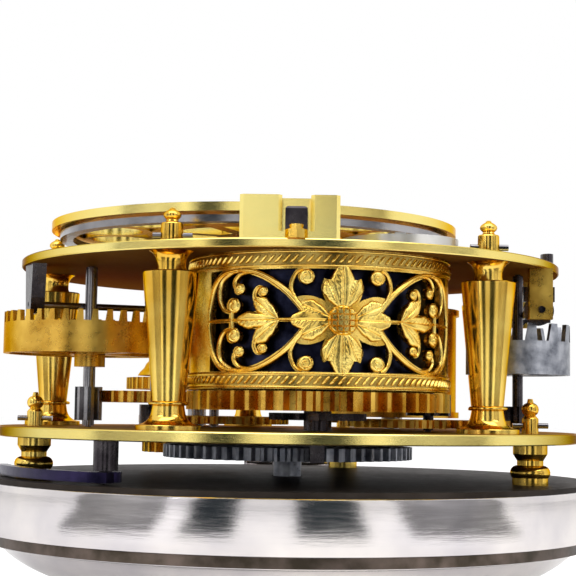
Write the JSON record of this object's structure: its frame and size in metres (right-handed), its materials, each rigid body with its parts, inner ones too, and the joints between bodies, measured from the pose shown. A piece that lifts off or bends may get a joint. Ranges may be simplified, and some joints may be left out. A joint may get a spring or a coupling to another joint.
{
  "type": "coach clock",
  "caption": "Coach clock movement with pierced alarm drum, verge escapement and turned pillars, hinged on a silver bezel with a domed crystal.",
  "frame": {"origin": "centre of the crystal's flat eye, on which the clock rests dial down", "axes": "+Z from the crystal up to the balance cock, -Y is the side with the cock foot and the pierced drum panel, +X to its right"},
  "size_m": [0.096, 0.099, 0.0589],
  "materials": {
    "gilt_brass": "fire-gilt, polished",
    "silver": "polished silver",
    "steel": "polished steel",
    "blued_steel": "dark blued steel",
    "glass": "clear",
    "gut": "natural gut"
  },
  "bodies": {
    "bezel_ring": {"bezel": "silver", "crystal": "glass", "hinge_pin": "steel"},
    "movement": {"dial_plate": "gilt_brass", "chapter_ring": "silver", "centre_post": "steel", "dial_feet": "gilt_brass", "dial_pins": "steel", "pillar_plate": "gilt_brass", "upper_plate": "gilt_brass", "pillar_1": "gilt_brass", "pillar_2": "gilt_brass", "pillar_3": "gilt_brass", "pillar_4": "gilt_brass", "pillar_5": "gilt_brass", "pillar_pins": "steel", "alarm_drum": "gilt_brass", "alarm_spring": "blued_steel", "gut_line": "gut", "potence": "gilt_brass", "counter_potence": "gilt_brass", "balance_spring": "blued_steel", "balance_cock": "gilt_brass", "catch_block": "blued_steel", "cock_boss": "gilt_brass", "alarm_bracket": "gilt_brass", "lever_post": "steel"},
    "third_arbor": {"third_wheel": "gilt_brass", "third_arbor": "steel"},
    "contrate_arbor": {"contrate_wheel": "gilt_brass", "contrate_arbor": "steel"},
    "escape_wheel": {"escape_wheel": "gilt_brass", "escape_arbor": "steel"},
    "second_arbor": {"second_wheel": "gilt_brass", "second_arbor": "steel"},
    "fusee": {"fusee_wheel": "gilt_brass", "fusee_cone": "gilt_brass", "fusee_arbor": "steel", "drive_wheel": "gilt_brass"},
    "going_barrel": {"going_barrel": "gilt_brass", "barrel_arbor": "steel"},
    "hour_wheel": {"hour_wheel": "steel", "hour_hand": "blued_steel"},
    "balance": {"verge": "steel", "balance_wheel": "steel"},
    "alarm_great_wheel": {"alarm_great_wheel": "gilt_brass", "alarm_ratchet": "blued_steel", "alarm_arbor": "steel"},
    "alarm_second_arbor": {"alarm_second_wheel": "gilt_brass", "alarm_second_arbor": "steel"},
    "alarm_crown_wheel": {"alarm_crown_wheel": "steel", "alarm_crown_arbor": "steel"},
    "alarm_hammer": {"alarm_verge": "steel"},
    "alarm_disc": {"alarm_disc": "gilt_brass"},
    "regulator_disc": {"regulator_disc": "silver"},
    "release_lever": {"release_lever": "blued_steel"}
  },
  "joints": [
    {"name": "movement_hinge", "type": "hinge", "parent": "bezel_ring", "child": "movement", "pos_m": [0, 0.0495, 0.0205], "axis": [-1, 0, 0], "range_deg": [0, 95]},
    {"name": "third_spin", "type": "hinge", "parent": "movement", "child": "third_arbor", "pos_m": [-0.02119, -0.00144, 0.03245], "axis": [0, 0, 1], "continuous": true},
    {"name": "contrate_spin", "type": "hinge", "parent": "movement", "child": "contrate_arbor", "pos_m": [-0.03, -0.012, 0.03245], "axis": [0, 0, 1], "continuous": true},
    {"name": "escape_spin", "type": "hinge", "parent": "movement", "child": "escape_wheel", "pos_m": [-0.0058, -0.0005, 0.04561], "axis": [-0.9298, -0.3681, 0], "continuous": true},
    {"name": "second_spin", "type": "hinge", "parent": "movement", "child": "second_arbor", "pos_m": [-0.01219, 0.00928, 0.03245], "axis": [0, 0, 1], "continuous": true},
    {"name": "fusee_spin", "type": "hinge", "parent": "movement", "child": "fusee", "pos_m": [-0.01587, 0.02331, 0.03245], "axis": [0, 0, 1], "continuous": true},
    {"name": "barrel_spin", "type": "hinge", "parent": "movement", "child": "going_barrel", "pos_m": [0.018, 0.022, 0.03245], "axis": [0, 0, 1], "continuous": true},
    {"name": "hour_spin", "type": "hinge", "parent": "movement", "child": "hour_wheel", "pos_m": [0, 0, 0.02345], "axis": [0, 0, 1], "continuous": true},
    {"name": "balance_swing", "type": "hinge", "parent": "movement", "child": "balance", "pos_m": [-0.0058, -0.0005, 0.04745], "axis": [0, 0, 1], "range_deg": [-60, 60]},
    {"name": "alarm_great_spin", "type": "hinge", "parent": "movement", "child": "alarm_great_wheel", "pos_m": [0.0042, -0.0218, 0.03145], "axis": [0, 0, 1], "continuous": true},
    {"name": "alarm_second_spin", "type": "hinge", "parent": "movement", "child": "alarm_second_arbor", "pos_m": [0.02129, -0.0092, 0.03145], "axis": [0, 0, 1], "continuous": true},
    {"name": "alarm_crown_spin", "type": "hinge", "parent": "movement", "child": "alarm_crown_wheel", "pos_m": [0.03504, -0.008, 0.03145], "axis": [0, 0, 1], "continuous": true},
    {"name": "alarm_strike", "type": "hinge", "parent": "movement", "child": "alarm_hammer", "pos_m": [0.03669, -0.008, 0.04555], "axis": [0, 1, 0], "range_deg": [-7, 7]},
    {"name": "alarm_set", "type": "hinge", "parent": "movement", "child": "alarm_disc", "pos_m": [0, 0, 0.01945], "axis": [0, 0, 1], "continuous": true},
    {"name": "regulator_turn", "type": "hinge", "parent": "movement", "child": "regulator_disc", "pos_m": [0.0155, -0.026, 0.05345], "axis": [0, 0, 1], "range_deg": [-170, 170]},
    {"name": "release_lever_turn", "type": "hinge", "parent": "movement", "child": "release_lever", "pos_m": [-0.0245, -0.034, 0.02145], "axis": [0, 0, 1], "range_deg": [0, 4]}
  ],
  "couplings": [
    {"joint": "third_spin", "follows": "contrate_spin", "ratio": -0.14583},
    {"joint": "escape_spin", "follows": "contrate_spin", "ratio": -6.3333},
    {"joint": "second_spin", "follows": "contrate_spin", "ratio": 0.024306},
    {"joint": "fusee_spin", "follows": "contrate_spin", "ratio": -0.0050637},
    {"joint": "barrel_spin", "follows": "contrate_spin", "ratio": -0.0040509},
    {"joint": "hour_spin", "follows": "contrate_spin", "ratio": 0.0023736},
    {"joint": "alarm_second_spin", "follows": "alarm_crown_spin", "ratio": -0.15},
    {"joint": "alarm_great_spin", "follows": "alarm_crown_spin", "ratio": 0.025}
  ]
}
